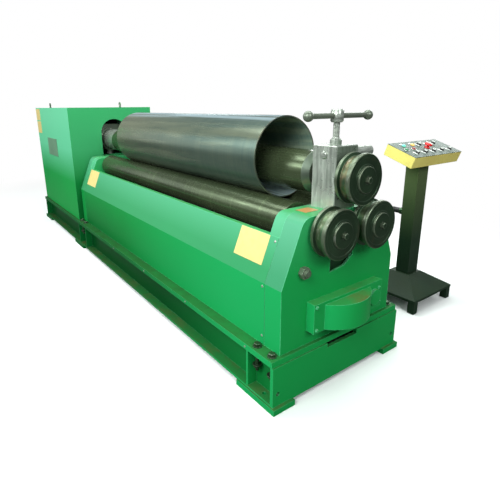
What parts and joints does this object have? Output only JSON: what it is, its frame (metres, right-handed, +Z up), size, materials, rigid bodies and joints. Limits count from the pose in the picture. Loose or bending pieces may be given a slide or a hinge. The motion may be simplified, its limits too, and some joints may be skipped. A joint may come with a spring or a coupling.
{
  "type": "plate rolling machine",
  "caption": "Plate rolling machine with grooved section wheels on its roll ends, drop-end clamp, drive cabinet, a part-rolled shell and a separate control stand joined by a conduit.",
  "frame": {"origin": "on the floor, under the middle of the whole object's bounding box", "axes": "+X along the rolls towards the drop end, -Y the operator's side, +Z up"},
  "size_m": [4.8065, 1.97, 1.483],
  "materials": {
    "green_paint": "semi-gloss paint",
    "roll_steel": "oiled forged steel",
    "shell_steel": "mill scale",
    "bright_steel": "ground steel",
    "dark_steel": "oiled dark steel",
    "bronze": "machined bronze",
    "motor_grey": "satin grey paint",
    "cast_grey": "grey paint on casting",
    "stand_black": "satin dark paint",
    "console_yellow": "semi-gloss yellow paint",
    "panel_grey": "dark anodised plate",
    "lamp_green": "clear tinted lens",
    "lamp_amber": "clear tinted lens",
    "button_green": "moulded",
    "button_red": "moulded",
    "stop_red": "moulded",
    "knob_black": "moulded",
    "conduit_black": "ribbed rubber-covered hose"
  },
  "bodies": {
    "machine": {"base_frame": "green_paint", "right_end_frame": "green_paint", "left_end_frame": "green_paint", "front_cover": "green_paint", "rear_cover": "green_paint", "tie_rod": "dark_steel", "worm_guard": "green_paint", "cabinet_shell": "green_paint", "cabinet_rear_panel": "green_paint", "vent_plate": "motor_grey", "eye_bolt_1": "bright_steel", "eye_bolt_2": "bright_steel", "main_motor": "motor_grey", "reducer": "cast_grey", "lift_motor": "motor_grey", "lift_shaft": "dark_steel", "drive_frame": "green_paint", "console_base": "stand_black", "console_column": "stand_black", "console_box": "console_yellow", "console_panel": "panel_grey", "green_lamp": "lamp_green", "amber_lamp": "lamp_amber", "machine_gland": "dark_steel", "column_gland": "dark_steel", "control_conduit": "conduit_black"},
    "front_roll": {"front_roll": "roll_steel", "front_wheel": "dark_steel", "front_roll_gear": "dark_steel"},
    "rear_roll": {"rear_roll": "roll_steel", "rear_wheel": "dark_steel", "rear_roll_gear": "dark_steel"},
    "drive_pinion": {"drive_pinion": "bright_steel"},
    "roll_lift": {"drop_end_block": "bright_steel", "drop_end_bush": "bronze", "drive_end_block": "dark_steel", "right_lift_screw": "bright_steel", "left_lift_screw": "bright_steel"},
    "top_roll": {"top_roll": "roll_steel", "top_wheel": "dark_steel"},
    "right_worm_wheel": {"right_worm_wheel": "bronze"},
    "left_worm_wheel": {"left_worm_wheel": "bronze"},
    "lock_pin": {"lock_pin": "bright_steel"},
    "clamp_shoe": {"clamp_shoe": "bright_steel"},
    "clamp_screw": {"clamp_screw": "bright_steel"},
    "tee_bar": {"tee_bar": "bright_steel"},
    "rolled_shell": {"rolled_shell": "shell_steel"},
    "electric_door": {"electric_door": "green_paint"},
    "door_latch": {"door_latch": "knob_black"},
    "start_button": {"start_button": "button_green"},
    "stop_button": {"stop_button": "button_red"},
    "emergency_stop": {"emergency_stop": "stop_red"},
    "selector_1": {"selector_1": "knob_black"},
    "selector_2": {"selector_2": "knob_black"},
    "selector_3": {"selector_3": "knob_black"},
    "selector_4": {"selector_4": "knob_black"},
    "selector_5": {"selector_5": "knob_black"},
    "selector_6": {"selector_6": "knob_black"},
    "selector_7": {"selector_7": "knob_black"},
    "selector_8": {"selector_8": "knob_black"}
  },
  "joints": [
    {"name": "front_roll_spin", "type": "hinge", "parent": "machine", "child": "front_roll", "pos_m": [2.29675, -0.6046, 0.849], "axis": [1, 0, 0], "continuous": true},
    {"name": "rear_roll_spin", "type": "hinge", "parent": "machine", "child": "rear_roll", "pos_m": [2.29675, -0.3194, 0.849], "axis": [1, 0, 0], "continuous": true},
    {"name": "drive_pinion_spin", "type": "hinge", "parent": "machine", "child": "drive_pinion", "pos_m": [2.29675, -0.462, 0.71453], "axis": [1, 0, 0], "continuous": true},
    {"name": "rolled_shell_spin", "type": "hinge", "parent": "machine", "child": "rolled_shell", "pos_m": [2.29675, -0.462, 1.14693], "axis": [1, 0, 0], "continuous": true},
    {"name": "right_worm_wheel_turn", "type": "hinge", "parent": "machine", "child": "right_worm_wheel", "pos_m": [2.17725, -0.462, 0.42], "axis": [0, 0, 1], "range_deg": [-1200, 600]},
    {"name": "left_worm_wheel_turn", "type": "hinge", "parent": "machine", "child": "left_worm_wheel", "pos_m": [-1.06325, -0.462, 0.42], "axis": [0, 0, 1], "range_deg": [-1201, 601]},
    {"name": "top_roll_lift", "type": "slide", "parent": "machine", "child": "roll_lift", "axis": [0, 0, 1], "range_m": [-0.04002, 0.02002]},
    {"name": "top_roll_spin", "type": "hinge", "parent": "roll_lift", "child": "top_roll", "pos_m": [2.29675, -0.462, 1.091], "axis": [1, 0, 0], "continuous": true},
    {"name": "lock_pin_slide", "type": "slide", "parent": "roll_lift", "child": "lock_pin", "axis": [0, 1, 0], "range_m": [0, 0.16]},
    {"name": "clamp_shoe_slide", "type": "slide", "parent": "roll_lift", "child": "clamp_shoe", "axis": [0, 0, 1], "range_m": [0, 0.00602]},
    {"name": "clamp_screw_turn", "type": "hinge", "parent": "clamp_shoe", "child": "clamp_screw", "pos_m": [2.17725, -0.462, 1.377], "axis": [0, 0, 1], "range_deg": [0, 720]},
    {"name": "tee_bar_slide", "type": "slide", "parent": "clamp_screw", "child": "tee_bar", "axis": [0, 1, 0], "range_m": [-0.175, 0.135]},
    {"name": "electric_door_swing", "type": "hinge", "parent": "machine", "child": "electric_door", "pos_m": [-2.37955, -0.136, 0.85], "axis": [0, 0, -1], "range_deg": [0, 110]},
    {"name": "door_latch_turn", "type": "hinge", "parent": "electric_door", "child": "door_latch", "pos_m": [-2.37985, -0.786, 0.85], "axis": [1, 0, 0], "range_deg": [0, 90]},
    {"name": "start_button_press", "type": "slide", "parent": "machine", "child": "start_button", "axis": [-0.3338, 0, -0.9426], "range_m": [0, 0.004], "stiffness_N_per_m": 400, "springref_m": -0.003},
    {"name": "stop_button_press", "type": "slide", "parent": "machine", "child": "stop_button", "axis": [-0.3338, 0, -0.9426], "range_m": [0, 0.004], "stiffness_N_per_m": 400, "springref_m": -0.003},
    {"name": "emergency_stop_press", "type": "slide", "parent": "machine", "child": "emergency_stop", "axis": [-0.3338, 0, -0.9426], "range_m": [0, 0.005], "stiffness_N_per_m": 400, "springref_m": -0.003},
    {"name": "selector_1_turn", "type": "hinge", "parent": "machine", "child": "selector_1", "pos_m": [1.92638, 0.71, 1.15411], "axis": [0.3338, 0, 0.9426], "range_deg": [-45, 45]},
    {"name": "selector_2_turn", "type": "hinge", "parent": "machine", "child": "selector_2", "pos_m": [1.92638, 0.81, 1.15411], "axis": [0.3338, 0, 0.9426], "range_deg": [-45, 45]},
    {"name": "selector_3_turn", "type": "hinge", "parent": "machine", "child": "selector_3", "pos_m": [1.92638, 0.895, 1.15411], "axis": [0.3338, 0, 0.9426], "range_deg": [-45, 45]},
    {"name": "selector_4_turn", "type": "hinge", "parent": "machine", "child": "selector_4", "pos_m": [2.03007, 0.525, 1.11739], "axis": [0.3338, 0, 0.9426], "range_deg": [-45, 45]},
    {"name": "selector_5_turn", "type": "hinge", "parent": "machine", "child": "selector_5", "pos_m": [2.03007, 0.62, 1.11739], "axis": [0.3338, 0, 0.9426], "range_deg": [-45, 45]},
    {"name": "selector_6_turn", "type": "hinge", "parent": "machine", "child": "selector_6", "pos_m": [2.03007, 0.725, 1.11739], "axis": [0.3338, 0, 0.9426], "range_deg": [-45, 45]},
    {"name": "selector_7_turn", "type": "hinge", "parent": "machine", "child": "selector_7", "pos_m": [2.03007, 0.83, 1.11739], "axis": [0.3338, 0, 0.9426], "range_deg": [-45, 45]},
    {"name": "selector_8_turn", "type": "hinge", "parent": "machine", "child": "selector_8", "pos_m": [2.03007, 0.935, 1.11739], "axis": [0.3338, 0, 0.9426], "range_deg": [-45, 45]}
  ],
  "couplings": [
    {"joint": "rear_roll_spin", "follows": "front_roll_spin", "ratio": 1},
    {"joint": "drive_pinion_spin", "follows": "front_roll_spin", "ratio": -1.8824},
    {"joint": "rolled_shell_spin", "follows": "front_roll_spin", "ratio": -0.44105},
    {"joint": "top_roll_lift", "follows": "right_worm_wheel_turn", "m_per_rad": 0.0019099},
    {"joint": "left_worm_wheel_turn", "follows": "right_worm_wheel_turn", "ratio": 1},
    {"joint": "clamp_shoe_slide", "follows": "clamp_screw_turn", "m_per_rad": 0.00047746}
  ]
}
